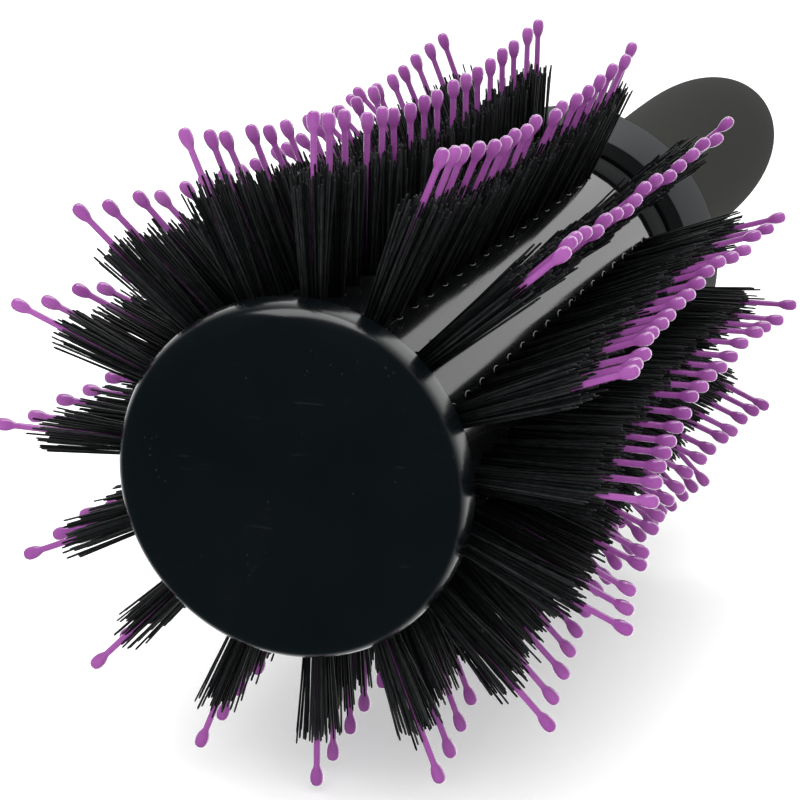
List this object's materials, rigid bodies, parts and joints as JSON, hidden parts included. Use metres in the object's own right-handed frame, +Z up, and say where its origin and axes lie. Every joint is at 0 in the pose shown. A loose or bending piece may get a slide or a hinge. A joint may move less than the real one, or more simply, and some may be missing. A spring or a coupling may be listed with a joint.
{
  "type": "round barrel brush",
  "caption": "Round hair brush for blow-drying: drilled barrel with rows of bristle tufts and ball-tipped pins, end cap, collar and soft handle.",
  "frame": {"origin": "centre of the end cap's flat outer face", "axes": "+Y along the brush's axis, from the end cap to the handle's end; +Z up, through a row of tufts; +X to the right"},
  "size_m": [0.0866, 0.251, 0.0866],
  "materials": {
    "cap_gloss": "high gloss black",
    "barrel_gloss": "gloss black with fine hairline marks",
    "ring_satin": "satin black",
    "spacer_black": "matte black",
    "collar_charcoal": "fine matte charcoal",
    "grip_soft": "soft-touch matte charcoal",
    "core_plastic": "moulded dark grey",
    "tuft_nylon": "black nylon filament",
    "pin_orchid": "orchid nylon, slightly translucent",
    "anchor_wire": "drawn flat wire",
    "screw_steel": "zinc-plated"
  },
  "bodies": {
    "root": {"end_cap": "cap_gloss", "barrel": "barrel_gloss", "tuft_anchors": "anchor_wire", "tie_screw": "screw_steel", "screw_washer": "screw_steel", "rear_ring": "ring_satin", "spacer_ring": "spacer_black", "collar": "collar_charcoal", "handle_core": "core_plastic", "handle_grip": "grip_soft", "tuft_row_01": "tuft_nylon", "tuft_row_02": "tuft_nylon", "tuft_row_03": "tuft_nylon", "tuft_row_04": "tuft_nylon", "tuft_row_05": "tuft_nylon", "tuft_row_06": "tuft_nylon", "tuft_row_07": "tuft_nylon", "tuft_row_08": "tuft_nylon", "tuft_row_09": "tuft_nylon", "tuft_row_10": "tuft_nylon", "tuft_row_11": "tuft_nylon", "tuft_row_12": "tuft_nylon", "tuft_row_13": "tuft_nylon", "tuft_row_14": "tuft_nylon", "tuft_row_15": "tuft_nylon", "tuft_row_16": "tuft_nylon", "pin_row_01": "pin_orchid", "pin_row_02": "pin_orchid", "pin_row_03": "pin_orchid", "pin_row_04": "pin_orchid", "pin_row_05": "pin_orchid", "pin_row_06": "pin_orchid", "pin_row_07": "pin_orchid", "pin_row_08": "pin_orchid", "pin_row_09": "pin_orchid", "pin_row_10": "pin_orchid", "pin_row_11": "pin_orchid", "pin_row_12": "pin_orchid", "pin_row_13": "pin_orchid", "pin_row_14": "pin_orchid", "pin_row_15": "pin_orchid", "pin_row_16": "pin_orchid"}
  },
  "joints": []
}
